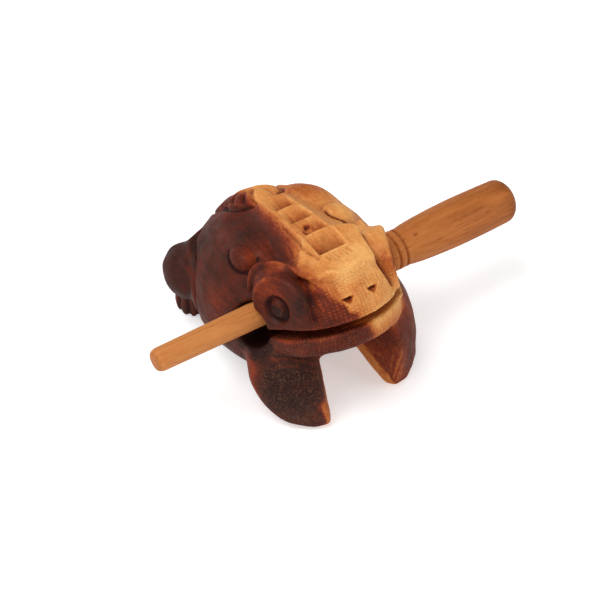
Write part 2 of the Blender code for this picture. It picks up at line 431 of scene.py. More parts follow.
def press_masses(clay):
    """Body, ridge along the back, head, furrows beside the strip and the left hump."""
    clay.add(ellipsoid(*BODY, axes_about_x(BODY_TILT)), soft=0)
    clay.add(limb(RIDGE), soft=6)
    dome = ellipsoid(*HEAD)

    def head(x, y, z):
        return smooth_max(dome.distance(x, y, z), -above_mouth(y, z), soft=0.5)
    clay.add(Shape(head, dome.low, dome.high), soft=3)
    for side in SIDES:
        clay.groove(mirrored(BACK_FURROW, side), soft=4, depth=1.8)
    clay.add(ellipsoid(*LEFT_HUMP), soft=4)


def above_mouth(y, z):
    """Height above the middle of the mouth slit."""
    return (y - MOUTH_MIDDLE[0]) * sin(MOUTH_TILT) + (z - MOUTH_MIDDLE[1]) * cos(MOUTH_TILT)


def press_head(clay):
    """Cap, crest, valleys, eye lobes, lids, brows, ears and cheeks, then the jaw."""
    clay.add(coin(*CAP, axes_about_x(CAP_TILT)), soft=1.2)
    clay.groove(CAP_FURROW, soft=2.5, depth=1.6)
    clay.add(stroke(CREST), soft=0.8)
    clay.groove(SNOUT_DIP, soft=2, depth=0.8)
    for side in SIDES:
        centre, half_depth = on_side(EYE_CENTRE, side), EYE_HALF_DEPTHS[side]
        axes = axes_facing(on_side(EYE_FACES, side), EYE_UP)
        clay.cut(limb(VALLEYS[side]), soft=1.5)
        middle = centre + half_depth / 3 * np.array(axes[2])
        moat = oval(middle, on_side(EYE_RADII, -side), axes, *EYE_MOAT)
        clay.groove(moat, soft=1.5, steps=2, depth=1.6)
        clay.add(coin(centre, EYE_RADII, half_depth, EYE_ROUNDING, axes), soft=0.7)
        clay.add(side_lump(EYELID, side), soft=2)
        clay.add(stroke(BROWS[side]), soft=0.8)
        centre, radii, _ = EARS[side]
        clay.add(ellipsoid(centre, radii, axes_facing(on_side(EAR_FACES, side))), soft=0.5)
        clay.add(stroke(mirrored(CHEEK, side)), soft=2.5)
    clay.add(coin(*JAW, axes_about_x(-MOUTH_TILT)), soft=1)


def leg_places(x, y, side):
    """Places from a front leg's toe: along its broad face to the middle, and out of it."""
    forth, out = LEG_TURN
    x = x - TOES[side][0]
    y = y - TOES[side][1]
    return -side * forth * x - out * y, side * out * x - forth * y


def front_leg(side):
    """A front leg: a broad wedge, thin at the toe, that curves back to the shoulder."""
    knee, top, reach = 23, 33, 22
    bulge, fall, bulge_middle, bulge_half = 4.8, 3.6, -9, 13
    face_lean, lean_start, face_ease = 0.022, 11, 1.2
    shift, shift_top, trim = 0.1, 16, 0.4
    taper, taper_top = 0.12, 8
    wider, wider_depth, wider_height = 0.45, 8, 14
    inner_edge, inner_lean, inner_turn, inner_start = 5, 0.19, 0.33, 1.6
    back = 0.6

    def distance(x, y, z):
        run, off = leg_places(x, y, side)
        face = bulge - fall * ((run - bulge_middle) / bulge_half) ** 2
        face = face - face_lean * np.maximum(z - lean_start, 0) ** 2
        behind = np.clip(face - off, 0, wider_depth)
        low = np.minimum(z, knee) - knee
        middle = LEG_MIDDLES[side] + shift * np.minimum(z, shift_top)
        outline = (length((run + middle) / reach, low / knee) - 1) * knee
        outline = outline + taper * np.maximum(taper_top - z, 0) + trim
        outline = outline - wider * behind * np.clip(z / wider_height, 0, 1)
        inner = run - (inner_edge - inner_lean * z + inner_turn * (off - inner_start))
        thickness = np.maximum((off - face) / face_ease, -back - LEG_BACK_LEAN * z - off)
        sides = smooth_max(outline, inner, soft=2)
        return smooth_max(sides, smooth_max(thickness, z - top, soft=2), soft=1.6)
    low, high = (np.array(corner) + (TOES[side][0], 0, 0) for corner in LEG_BOX)
    return Shape(distance, low, high)


def press_legs(clay):
    """Front legs, then thighs, knees, shanks and feet of the hind legs."""
    (foot_x, foot_y, _), (foot_width, foot_length, _) = FOOT
    for side in SIDES:
        clay.add(front_leg(side), soft=2)
        clay.add(side_lump(THIGH, side), soft=2)
        clay.groove(mirrored(THIGH_CREASE, side), soft=0.8)
        clay.add(side_lump(KNEE, side), soft=1)
        clay.add(limb(mirrored(SHANK, side)), soft=2.5)
        clay.add(side_lump(FOOT, side), soft=1.6)
        for angle in TOE_ANGLES:
            x = side * (foot_x + foot_width * sin(radians(angle)))
            y = foot_y + foot_length * cos(radians(angle))
            clay.groove([(x, y, z, radius) for z, radius in TOE_GROOVE], soft=0.3)


def cut_throat(clay):
    """Carve the throat back between the front legs: a sloping cut."""
    slope = Vector((0, 1.87, 2.1536)).normalized()
    start_y, middle, half_width = -6.5, 1.5, 12
    low, high = (-12, -48, -2), (15, 0, 24)

    def distance(x, y, z):
        depth = (y - start_y) * slope[1] + z * slope[2]
        return smooth_max(depth, np.abs(x - middle) - half_width, soft=3)
    clay.cut(Shape(distance, low, high), soft=3)


def press_rump(clay):
    """Rump: a hump behind the strip, creased and cut by chevron grooves."""
    for y, z, width, tilt in RUMP_LUMPS:
        clay.add(ellipsoid((0, y, z), (width, *RUMP_RADII), axes_about_x(radians(tilt))), soft=2.5)
    for side in SIDES:
        clay.groove(mirrored(RUMP_CREASE, side), soft=0.5)
    at_side, on_slope, at_middle = CHEVRON_RADII
    for width, side_y, side_z, middle_y, middle_z in RUMP_CHEVRONS:
        slope = (CHEVRON_SHARE * width, (side_y + middle_y) / 2, middle_z + CHEVRON_RISE, on_slope)
        half = ((width, side_y, side_z, at_side), slope)
        clay.groove((*mirrored(half, -1), (0, middle_y, middle_z, at_middle), *reversed(half)), soft=0.5)


def across_strip(x, y):
    """Place across the treads, -1 at the right end to 1 at the left, and their half width."""
    ends = (TREAD_EDGES[-1][0], TREAD_EDGES[0][0])
    half = np.interp(y, ends, TREAD_HALVES)
    return (x - np.interp(y, ends, STRIP_MIDDLES)) / half, half


def scoop_across(place, full):
    """Depth of a scoop across the strip; it fades slowly on the right."""
    return fade(place, -1, full) * fade(place, *SCOOP_LEFT_END)


def press_strip(clay):
    """Notched strip: a bar along the back, cut into treads that fall to the front."""
    edges_y, edges_z = zip(*reversed(TREAD_EDGES))
    front, rear = edges_y[0], edges_y[-1]
    right_slope, left_slope = STRIP_SLOPES

    def bar(x, y, z):
        below = np.interp(y, edges_y, edges_z) - z
        place, half = across_strip(x, y)
        slope = np.where(place > 0, left_slope, right_slope)
        side = (np.abs(place) - 1) * half - STRIP_RAIL - slope * np.maximum(below, 0)
        ends = np.maximum(y - rear, front - y)
        return smooth_max(smooth_max(-below, side / length(1, slope), soft=0.3), ends, soft=0.6)
    clay.add(Shape(bar, *STRIP_BOX), soft=1.2)
    for rear_edge, front_edge, depth, full in zip(TREAD_EDGES, TREAD_EDGES[1:], TREAD_DEPTHS, SCOOP_FULL):
        clay.cut(tread(rear_edge, front_edge, depth, full), soft=0.3)


def tread(rear_edge, front_edge, depth, full):
    """What is cut for a tread: a scoop that falls to the front and dies out on the right."""
    (rear_y, rear_z), (front_y, front_z) = rear_edge, front_edge
    wall, reach, under, over = 0.3, 7, 2, 4

    def distance(x, y, z):
        part = np.clip((rear_y - y) / (rear_y - front_y), 0, 1)
        place, half = across_strip(x, y)
        floor = rear_z + part * (front_z - rear_z) - depth * part * scoop_across(place, full)
        side = (np.abs(place) - 1) * half
        ends = np.maximum(y - rear_y, front_y + wall - y)
        return np.maximum(np.maximum(floor - z, side), ends)
    low = (-reach, front_y, rear_z - depth - under)
    return Shape(distance, low, (reach, rear_y, front_z + over))


def cut_openings(clay):
    """Mouth slit, stick hole, collar's seat, the hole's flare, hollow belly and flat underside."""
    def slit(x, y, z):
        height = above_mouth(y, z)
        return np.maximum(np.maximum(MOUTH_BOTTOM - height, height - MOUTH_TOP), y - HOLE_MIDDLE[0])
    clay.cut(Shape(slit, FROG_LOW, FROG_HIGH), soft=0.8)
    reach = FROG_HIGH[0] + CLAY_ROOM
    clay.cut(rod(-reach, reach, *HOLE_MIDDLE, HOLE_RADIUS), soft=1)
    clay.cut(rod(SHOULDER_X - SEAT_GAP, reach, *STICK_AXIS[1:], COLLAR_RADIUS + SEAT_GAP), soft=0.3)
    clay.cut(limb(FLARE), soft=1)
    clay.cut(ellipsoid(*BELLY), soft=0.5)

    def ground(x, y, z):
        return z + 0 * x + 0 * y
    high = FROG_HIGH + CLAY_ROOM
    clay.cut(Shape(ground, FROG_LOW - CLAY_ROOM, (high[0], high[1], 0)), soft=0.6)


def nostril(side):
    """A nostril: a three-cornered pit, deepest along its top edge."""
    centre = np.array(NOSTRIL_MIDDLE) + (side * NOSTRIL_APART / 2, 0, 0)
    half_width, half_height, depth, reach = NOSTRIL_SIZE
    lean = half_width / (2 * half_height)

    def distance(x, y, z):
        across, up, out = turned(x, y, z, centre, axes_facing(NOSTRIL_FACES))
        sides = (np.abs(across) - lean * (up + half_height)) / length(1, lean)
        floor = -out - depth * (up + half_height) / (2 * half_height)
        return np.maximum(np.maximum(sides, up - half_height), floor)
    return Shape(distance, centre - reach, centre + reach)


def cut_details(clay):
    """Chisel marks, the knot, eye rings, nostrils and the creases of the ears."""
    clay.groove(CHISEL_LINE, soft=0.3, depth=CHISEL_DEPTH)
    y, z = NICK_START
    for x, run in zip(NICKS_X, np.resize(NICK_LENGTHS, len(NICKS_X))):
        nick = ((x, y, z, NICK_RADIUS), (x + NICK_SLANT, y - run, z, NICK_RADIUS))
        clay.groove(nick, soft=0.2, depth=CHISEL_DEPTH)
    clay.groove(TREAD_KNOT, soft=0.3, depth=CHISEL_DEPTH)
    for side in SIDES:
        axes = axes_facing(on_side(EYE_FACES, side), EYE_UP)
        ring = oval(on_side(RING_CENTRE, side), RING_RADII, axes, *RING_GROOVE, RING_POINTS)
        clay.groove(ring, soft=0.5, steps=2)
        clay.cut(nostril(side), soft=0.3)
        centre, radii, creases = EARS[side]
        axes = axes_facing(on_side(EAR_FACES, side))
        for crease in creases:
            clay.groove(oval(centre, radii, axes, *crease), soft=0.3, steps=2)


def roughen(clay):
    """Leave the skin a little uneven, as a knife does."""
    x, y, z = clay.places([slice(0, count) for count in clay.field.shape])
    waves = 1
    for along_x, along_y, along_z, start in KNIFE_WAVES:
        waves = waves * np.sin(along_x * x + along_y * y + along_z * z + start)
    clay.field += (KNIFE_HEIGHT * waves).astype(np.float32)


def sculpt_frog():
    """The whole frog as clay."""
    clay = Clay(FROG_LOW - CLAY_ROOM, FROG_HIGH + CLAY_ROOM, CLAY_STEP)
    press_masses(clay)
    press_head(clay)
    cut_throat(clay)
    press_legs(clay)
    press_rump(clay)
    roughen(clay)
    press_strip(clay)
    cut_details(clay)
    cut_openings(clay)
    return clay


def new_object(name, data):
    """An object in the scene."""
    item = bpy.data.objects.new(name, data)
    bpy.context.scene.collection.objects.link(item)
    return item


def mesh_from_clay(clay, name):
    """A closed mesh on the clay's skin, in metres, thinned to the triangles kept."""
    grid = openvdb.FloatGrid(FAR)
    grid.copyFromArray(clay.field)
    points, triangles, quads = grid.convertToPolygons(0, 0)
    points = clay.low + points * clay.step
    mesh = bpy.data.meshes.new(name)
    mesh.from_pydata((points * MM).tolist(), [], triangles.tolist() + quads.tolist())
    item = new_object(name, mesh)
    thin = item.modifiers.new("thin", 'DECIMATE')
    thin.ratio = KEPT_TRIANGLES / (len(triangles) + 2 * len(quads))
    thinned = item.evaluated_get(bpy.context.evaluated_depsgraph_get())
    item.data = bpy.data.meshes.new_from_object(thinned)
    item.modifiers.clear()
    bpy.data.meshes.remove(mesh)
    drop_crumbs(item.data)
    item.data.shade_smooth()
    return item


def drop_crumbs(mesh):
    """Keep only what is joined to the highest vertex of a mesh."""
    whole = bmesh.new()
    whole.from_mesh(mesh)
    found = [max(whole.verts, key=lambda vertex: vertex.co.z)]
    joined = set(found)
    for vertex in found:
        near = {edge.other_vert(vertex) for edge in vertex.link_edges} - joined
        joined |= near
        found.extend(near)
    bmesh.ops.delete(whole, geom=[vertex for vertex in whole.verts if vertex not in joined], context='VERTS')
    whole.to_mesh(mesh)
    whole.free()


def vectors_of(rows, name):
    """One vector for each vertex of a mesh."""
    vectors = np.empty(3 * len(rows))
    rows.foreach_get(name, vectors)
    return vectors.reshape(-1, 3)


def set_values(mesh, name, values):
    """Store one number per vertex for the materials."""
    mesh.attributes.new(name, 'FLOAT', 'POINT').data.foreach_set("value", np.array(values, np.float32))


def fade(value, start, end):
    """A smooth step from 0 at start to 1 at end."""
    part = np.clip((value - start) / (end - start), 0, 1)
    return part * part * (3 - 2 * part)


def blurred(field, reach):
    """A field averaged over a box of grid steps."""
    for axis in range(3):
        field = sum(np.roll(field, shift, axis) for shift in range(-reach, reach + 1)) / (2 * reach + 1)
    return field


# Scorching: where the dark right side begins, as x by y, and how it fades in, on the snout by shares
SCORCH_EDGE_Y = (-46, -43.5, -39.5, -36, -33, -31, -24, -18, -10, 0, 12, 20)
SCORCH_EDGE_X = (-1.5, -3.6, -7.6, -9.2, -10.8, -11.8, -12, -8.5, -5.8, -4.8, -4, -1)
BACK_FADE = (3.5, -4)
SNOUT_FADES = ((0.25, 8, 0), (0.52, 1.4, -1.4), (0.23, -1, -8))
SNOUT_START = (-32, -35)

# Scorch levels; the low left side's edge waves as (height, turn per millimetre along x and y, start)
BARE_LEVEL = 0.2
RIGHT_LEVEL = 0.62
LOW_LEVEL = 0.44
LOW_EDGE_Z = (47, 24)
LOW_EDGE_WAVES = ((3.5, 0, 0.16, 0.5), (2, 0.21, 0.37, 0))

# Lower lip and strip: a zone is the (start, end) of a fade over each of its values
LIP_ZONE = ((-1, -2), (-22, -30), (24, 27))
LIP_LEVEL = 0.12
LIP_DARK = 0.65
LIP_DARK_X = (4.8, -0.8)
LIP_SHADE = 0.22
LIP_SHADE_ZONE = ((-3.5, -6.5), (-1, 5))
BARE_STRIP_ZONE = ((1.15, 1), (50, 52))
# Treads darker towards their deep front: partly scorch, partly painted shade
TREAD_SHADE = 0.2
SHADE_PART = (0.1, 0.75)
SHADE_TOP = (-6, -3)
SHADE_LEAST = 0.1

# Soft dabs as (x, y, z, radius, amount), each fading over these shares of its radius; most change the
# scorch, but some are painted light: painted shade in the stick hole's floor, the right eye ring's pit and
# the valley in front of the right eye lobe, and painted highlight on the crest, the right lobe's lower front
# and, partly, the rump
DAB_SHARES = (1.5, 0.2)
SCORCH_AND_LIGHT_DABS = (
    (-27, -6, 33, 9, -0.08), (-20, -3, 50, 5, -0.08), (-24, 14, 44, 14, 0.06), (-24, 24, 24, 12, 0.1),
    # painted shade in the right eye ring's pit: the dab at (-21, -26.4, 46.4)
    (-20, -22, 52, 6, -0.12), (-21, -26.4, 46.4, 3.4, 0.22), (-26, -14, 38, 6, 0.1),
    # painted highlight along the crest: the dabs at (0, -35.5, 59.5) and (8, -31.5, 59.5)
    (2, -29, 60.5, 7, -0.08), (0, -35.5, 59.5, 4, -0.16), (8, -31.5, 59.5, 5, -0.14),
    (-9.5, -31, 58.5, 3.5, 0.1), (13, -20, 57, 8, -0.12), (18, -6, 50, 6, -0.1), (10, 6, 52, 8, 0.08),
    # partly painted sheen: the paler rump at (-5, 22, 46)
    (16, 13, 48, 8, 0.2), (16.5, -33, 52, 5, 0.3), (-5, 22, 46, 9, -0.18), (1, -38.5, 57, 4, 0.12),
    (-20, -34, 16, 12, 0.2), (-18, -31, 26, 7, 0.12), (15.5, -36.5, 13, 6, -0.05), (22, -36, 15, 9, 0.12),
    # painted sheen on the right lobe's lower front at (-21.5, -30.5, 40); painted shade in the valley at
    # (-15.5, -33, 51.5)
    (-21.5, -30.5, 40, 4, -0.12), (-14, -17, 55, 4.5, -0.22), (-15.5, -33, 51.5, 3.5, 0.16),
    # painted shade in the stick hole's floor: the dab at (-21, -18.5, 28)
    (-14, -6, 53, 5, -0.1), (-18.5, -7, 50, 3, -0.14), (-21, -18.5, 28, 7, 0.7), (-8, -36.5, 56, 4, 0.08),
    (0.4, -10.6, 57.8, 1.2, 0.36), (-1.9, -13.4, 58.4, 1, 0.28),
)


def zone(fades, *values):
    """How far values are in a zone."""
    return np.prod([fade(value, *ends) for value, ends in zip(values, fades)], axis=0)


def scorch_and_light_at(x, y, z):
    """How dark the wood is, 0 for bare and 1 for nearly black: mostly scorch, with some dabs of painted
    shade and highlight and the treads darker, partly as painted shade.
    """
    over = x - np.interp(y, SCORCH_EDGE_Y, SCORCH_EDGE_X)
    right = fade(over, *BACK_FADE)
    on_snout = sum(share * fade(over, *ends) for share, *ends in SNOUT_FADES)
    right = right + fade(y, *SNOUT_START) * (on_snout - right)
    right = right * (1 - zone(BARE_STRIP_ZONE, np.abs(across_strip(x, y)[0]), z))
    waves = sum(tall * np.sin(per_x * x + per_y * y + start) for tall, per_x, per_y, start in LOW_EDGE_WAVES)
    low = fade(z + waves, *LOW_EDGE_Z)
    level = BARE_LEVEL + RIGHT_LEVEL * right + LOW_LEVEL * low * (1 - right)
    height = above_mouth(y, z)
    lip = LIP_LEVEL + LIP_DARK * fade(x, *LIP_DARK_X) + LIP_SHADE * zone(LIP_SHADE_ZONE, height, x)
    level = level + zone(LIP_ZONE, height, y, z) * (lip - level)
    start, end = DAB_SHARES
    for cx, cy, cz, radius, amount in SCORCH_AND_LIGHT_DABS:
        level = level + amount * fade(length(x - cx, y - cy, z - cz), radius * start, radius * end)
    return level + TREAD_SHADE * tread_shade(x, y, z)


def tread_shade(x, y, z):
    """How deep in a tread's scoop a place on the strip is, from 0 to 1."""
    shade = 0 * x
    place, _ = across_strip(x, y)
    for (rear_y, rear_z), (front_y, _), full in zip(TREAD_EDGES, TREAD_EDGES[1:], SCOOP_FULL):
        part = (rear_y - y) / (rear_y - front_y)
        inside = (np.abs(place) < 1) * (part > 0) * (part < 1) * fade(z - rear_z, *SHADE_TOP)
        deep = SHADE_LEAST + (1 - SHADE_LEAST) * scoop_across(place, full)
        shade = shade + inside * fade(part, *SHADE_PART) * deep
    return shade


# Bends of the skin, as (distance kept, grid steps averaged), then the crevices, darkened as painted shade,
# and the edges found from them; the strip gets less of that painted shade
FINE_BEND = (3, 2)
WIDE_BEND = (6, 5)
FINE_CREVICE_SHADE = (0.05, 0.7)
FINE_SHARE = 0.7
WIDE_CREVICE_SHADE = (0.1, 1.6)
WIDE_SHARE = 0.6
EDGE_BEND = (0.12, 0.6)
STRIP_ZONE = ((1.2, 1), (50, 52))
STRIP_LESS = 0.5

# Jaw, snout and front legs, the pit at the hole's right end, and the paler rims of the legs
JAW_ZONE = ((1, 0), (-20, -26), (24, 27))
SNOUT_ZONE = ((0.5, 1.5), (-33, -36), (17, 15))
LEG_ZONE = ((-12, -18), (30, 21))
PIT_REACH = (10, 7)
PIT_FACES_UP = 0.4
RIM_TURN = (0.94, 0.84)
RIM_INNER_ZONE = ((-17, -14), (10, 17))
RIM_OUTER_X = (-21, -17)
RIM_OUTER_SHARE = 0.5
LEFT_RIM_DEPTH = (6, 4)
LEFT_RIM_X = (0, 10)
LEFT_RIM_LESS = 0.15
RIM_LEVEL = 0.44

# Painted shade in the nostril pits, chatter marks, and specks of pale dust and wax that are partly painted
# glints
NOSTRIL_SHADE = 0.25
NOSTRIL_SHADE_EDGE = (0.3, 0)
JAW_SHARE = 0.8
JAW_STEPS = 1.5
SNOUT_STEPS = 0.71
SPECKLE_AND_GLINT_LEAST = 0.08

# Scratches across the right front leg and down the left one
SCRATCHES = (
    ((-24.5, -26, 25.5), (-19.5, -31.5, 27.5), (-13.5, -35.5, 26)),
    ((-24.3, -28.2, 23.1), (-18.6, -33.3, 25.3), (-11, -37, 21.5)),
    ((20.7, -38, 15.4), (18.3, -39.6, 10.2), (15.9, -40.4, 5)),
    ((13.8, -36.7, 9), (13.7, -37.3, 7), (13.8, -38.3, 4.9)),
    ((22.3, -36.2, 18), (20, -38.4, 11.5), (17, -40, 5)),
    ((18.6, -38.2, 16.5), (16.8, -39.2, 11), (15.2, -39.6, 6)),
    ((16.8, -37.2, 17.5), (15.3, -38, 12.5), (14.4, -38.4, 8)),
)
SCRATCH_STEPS = 40
SCRATCH_REACH = (0.6, 0.1)
SCRATCH_BARE = 0.15


def bend_at(places, clay, limit, reach):
    """How the skin bends at places: above 0 on edges, below 0 in hollows."""
    return clay.sample(places, blurred(np.clip(clay.field, -limit, limit), reach)) / clay.step


def rim_at(x, y, z, normals):
    """How far a place on a front leg is on its rim."""
    sideways = np.maximum(length(normals[:, 0], normals[:, 1]), LEAST_SLOPE)
    right = fade((-LEG_TURN[1] * normals[:, 0] - LEG_TURN[0] * normals[:, 1]) / sideways, *RIM_TURN)
    right = right * (1 - zone(RIM_INNER_ZONE, x, z))
    right = right * (RIM_OUTER_SHARE + (1 - RIM_OUTER_SHARE) * fade(x, *RIM_OUTER_X))
    left = fade(leg_places(x, y, 1)[1] + LEG_BACK_LEAN * z, *LEFT_RIM_DEPTH)
    return np.where(x < 0, right, left)


def paint_frog(mesh, clay):
    """Store scorching with painted shade and highlight, painted shade in crevices, edges, chatter marks and
    specks that are partly painted glints.
    """
    places = vectors_of(mesh.vertices, "co") / MM
    x, y, z = places.T
    normals = vectors_of(mesh.vertex_normals, "vector")
    height = above_mouth(y, z)
    jaw = zone(JAW_ZONE, height, y, z)
    pit = fade(length(*(places - FLARE[0][:3]).T), *PIT_REACH) * (normals[:, 2] > PIT_FACES_UP)
    leg = zone(LEG_ZONE, y, z) * (1 - pit)
    rim = leg * rim_at(x, y, z, normals)
    scorch_and_light = scorch_and_light_at(x, y, z)
    scorch_and_light = scorch_and_light + rim * (RIM_LEVEL - LEFT_RIM_LESS * fade(x, *LEFT_RIM_X) - scorch_and_light)
    scorch_and_light = scorch_and_light - SCRATCH_BARE * scratches_at(places, clay)
    # Painted shade: the nostril pits are darkened in the colour
    for side in SIDES:
        scorch_and_light = scorch_and_light + NOSTRIL_SHADE * fade(nostril(side).distance(x, y, z), *NOSTRIL_SHADE_EDGE)
    set_values(mesh, "scorch_and_light", scorch_and_light)
    bend = bend_at(places, clay, *FINE_BEND)
    wide_bend = bend_at(places, clay, *WIDE_BEND)
    # Painted shade: hollows and creases are darkened in the colour
    crevice_shade = FINE_SHARE * fade(-bend, *FINE_CREVICE_SHADE) + WIDE_SHARE * fade(-wide_bend, *WIDE_CREVICE_SHADE)
    strip = zone(STRIP_ZONE, np.abs(across_strip(x, y)[0]), z)
    set_values(mesh, "crevice_shade", crevice_shade * (1 - STRIP_LESS * strip))
    set_values(mesh, "edge", fade(bend, *EDGE_BEND))
    jaw_centre, jaw_radii, *_ = JAW
    around = np.arctan2(x, -(y - jaw_centre[1])) * jaw_radii[0]
    set_values(mesh, "chatter", np.maximum(zone(SNOUT_ZONE, height, y, np.abs(x)), JAW_SHARE * jaw))
    set_values(mesh, "rows", np.where(jaw > 0, around, x))
    set_values(mesh, "steps", np.where(jaw > 0, JAW_STEPS * height, SNOUT_STEPS * (y + z)))
    # Where the pale specks show: partly dust and wax, partly painted glints
    set_values(mesh, "speckle_and_glint", np.maximum(SPECKLE_AND_GLINT_LEAST, np.maximum(leg * (1 - rim), JAW_SHARE * jaw)))


def scratches_at(places, clay):
    """How near places are to a scratch, 1 on it and 0 away from it."""
    nearest = np.full(len(places), FAR)
    for scratch in SCRATCHES:
        for point in clay.onto_skin(smooth_path(scratch, SCRATCH_STEPS)):
            nearest = np.minimum(nearest, length(*(places - point).T))
    return fade(nearest, *SCRATCH_REACH)


def handle_profile():
    """The handle's outline from its neck to the end, as (x, radius)."""
    neck = GROOVE_PLACES[-1] + GROOVE_WIDTH
    swell = [(neck, COLLAR_RADIUS)]
    for share, thickness in HANDLE_SWELL:
        swell.append((neck + share * (STICK_HIGH[0] - DOME_LENGTH - neck), thickness * HANDLE_RADIUS))
    outline = [tuple(point) for point in smooth_path(swell, SWELL_STEPS)]
    start, radius = outline[-1]
    for turn in np.linspace(0, pi / 2, DOME_STEPS)[1:]:
        outline.append((start + DOME_LENGTH * sin(turn), radius * cos(turn)))
    return outline


def stick_profile():
    """The stick's outline from tip to end, as (x, radius)."""
    tip = STICK_LOW[0]
    face_radius, face_turn, bevel, curve, steps = 2.2, 0.35, 2.6, 0.8, 12
    outline = []
    for turn in np.linspace(0, pi / 2, steps):
        face = face_radius * min(turn / face_turn, 1)
        swell = face + (TIP_RADIUS - face_radius) * sin(turn) ** curve
        outline.append((tip + bevel * (1 - cos(turn)), swell))
    for share in SHAFT_SHARES:
        place = tip + bevel + share * (SHOULDER_X - tip - bevel)
        outline.append((place, TIP_RADIUS + share * (SHAFT_RADIUS - TIP_RADIUS)))
    outline.append((SHOULDER_X, COLLAR_RADIUS - COLLAR_BEVEL))
    outline.append((SHOULDER_X + COLLAR_BEVEL, COLLAR_RADIUS))
    for place in GROOVE_PLACES:
        for part in np.linspace(-1, 1, GROOVE_STEPS):
            depth = GROOVE_DEPTH * cos(part * pi / 2) ** GROOVE_CURVE
            outline.append((place + part * GROOVE_WIDTH / 2, COLLAR_RADIUS + COLLAR_SWELL - depth))
    return outline + handle_profile()


def turn_stick(name):
    """The stick: its outline turned about its axis."""
    outline = stick_profile()
    angles = np.arange(SEGMENTS) * 2 * pi / SEGMENTS
    _, y, z = STICK_AXIS
    points = [(x, y + radius * sin(a), z + radius * cos(a)) for x, radius in outline for a in angles]
    rings = np.arange(len(points)).reshape(-1, SEGMENTS)
    after = np.roll(rings, -1, axis=1)
    faces = np.stack((rings[:-1], after[:-1], after[1:], rings[1:]), axis=-1).reshape(-1, 4)
    mesh = bpy.data.meshes.new(name)
    mesh.from_pydata((np.array(points) * MM).tolist(), [], faces.tolist())
    clean = bmesh.new()
    clean.from_mesh(mesh)
    bmesh.ops.remove_doubles(clean, verts=clean.verts, dist=JOIN_DISTANCE * MM)
    bmesh.ops.recalc_face_normals(clean, faces=clean.faces)
    clean.to_mesh(mesh)
    clean.free()
    mesh.shade_smooth()
    mesh.set_sharp_from_angle(angle=SHARP_ANGLE)
    return new_object(name, mesh)


# What Blender's noise mostly lies between
NOISE_ENDS = (0.28, 0.72)


class Paint:
    """A material; what is fed to its nodes is a number, a colour or another node's output."""

    def __init__(self, name):
        self.material = bpy.data.materials.new(name)
        self.material.use_nodes = True
        self.tree = self.material.node_tree
        self.shader = self.tree.nodes["Principled BSDF"]

    def feed(self, socket, value):
        """Link an output to a socket, or set the socket's own value."""
        if isinstance(value, bpy.types.NodeSocket):
            self.tree.links.new(value, socket)
        elif value is not None:
            socket.default_value = value

    def set(self, name, value):
        """Feed one of the shader's own sockets."""
        self.feed(self.shader.inputs[name], value)

    def node(self, kind, *values, output=0, **settings):
        """Add a node, feed its inputs in order and give one of its outputs."""
        node = self.tree.nodes.new("ShaderNode" + kind)
        for name, value in settings.items():
            setattr(node, name, value)
        for socket, value in zip(node.inputs, values):
            self.feed(socket, value)
        return node.outputs[output]

    def math(self, operation, *values):
        """Arithmetic."""
        return self.node("Math", *values, operation=operation)

    def times(self, first, second):
        """Two values multiplied."""
        return self.math('MULTIPLY', first, second)

    def sum(self, *values):
        """Several values added up."""
        total = values[0]
        for value in values[1:]:
            total = self.math('ADD', total, value)
        return total

    def stored(self, name):
        """A number stored on the mesh."""
        return self.node("Attribute", attribute_name=name, output="Fac")

    def places(self, scales):
        """Places on the piece in millimetres, stretched along its axes."""
        places = self.node("TexCoord", output="Object")
        return self.node("VectorMath", places, [k / MM for k in scales], operation='MULTIPLY')

    def remap(self, value, *ends):
        """A value moved from one range to another, given by their ends in turn."""
        return self.node("MapRange", value, *ends)

    def noise(self, scales, low=0, high=1, detail=2, rough=0.5):
        """Noise from low to high, with so many cycles per millimetre along each axis."""
        value = self.node("TexNoise", self.places(scales), None, 1, detail, rough)
        return self.remap(value, *NOISE_ENDS, low, high)

    def mix(self, factor, first, second, blend='MIX'):
        """Two colours mixed; the sockets skipped are for other data."""
        values = (factor, *[None] * 5, first, second)
        return self.node("Mix", *values, output=2, data_type='RGBA', blend_type=blend)

    def ramp(self, value, stops):
        """Colours along a value; stops are (place, colour)."""
        node = self.tree.nodes.new("ShaderNodeValToRGB")
        elements = node.color_ramp.elements
        while len(elements) < len(stops):
            elements.new(1)
        for element, (place, colour) in zip(elements, stops):
            element.position = place
            element.color = (*colour, 1)
        self.feed(node.inputs[0], value)
        return node.outputs[0]

    def bump(self, height, distance):
        """A bump of the given height in millimetres on the shader's normal."""
        node = self.tree.nodes.new("ShaderNodeBump")
        node.inputs["Distance"].default_value = distance * MM
        self.feed(node.inputs["Height"], height)
        self.set("Normal", node.outputs[0])


SHEEN = 0.11

# Scorched wood: colours by level, then the colour of the specks (pale dust and wax, partly painted glints)
# and of the painted shade in crevices
SCORCH_COLOURS = (
    (0, (0.74, 0.37, 0.115)),
    (0.2, (0.6, 0.23, 0.06)),
    (0.4, (0.42, 0.11, 0.023)),
    (0.58, (0.2, 0.029, 0.008)),
    (0.74, (0.09, 0.014, 0.006)),
    (0.9, (0.045, 0.012, 0.007)),
    (1, (0.022, 0.007, 0.005)),
)
SPECK_AND_GLINT_COLOUR = (0.22, 0.092, 0.042, 1)
CREVICE_SHADE_COLOUR = (0.24, 0.08, 0.06, 1)
SCORCHED_ROUGH = 0.5

# Chatter marks of the knife: spacing of the rows and of the dots along them, and their widening
ROW_SPACING = 1.35
DOT_SPACING = 1.1
ROW_WIDER = 0.6
DOT_WIDER = 0.8

# What the marks, pores and worn edges add to the level
MARK_LEVEL = -0.065
PORE_LEVEL = 0.07
EDGE_LEVEL = -0.22

# Bump height in millimetres, and the share of each mark in it
SCORCHED_BUMP = 0.16
MARK_RISE = 0.6
STREAK_RISE = 1.5
GRIT_RISE = 2
PORE_RISE = -0.4


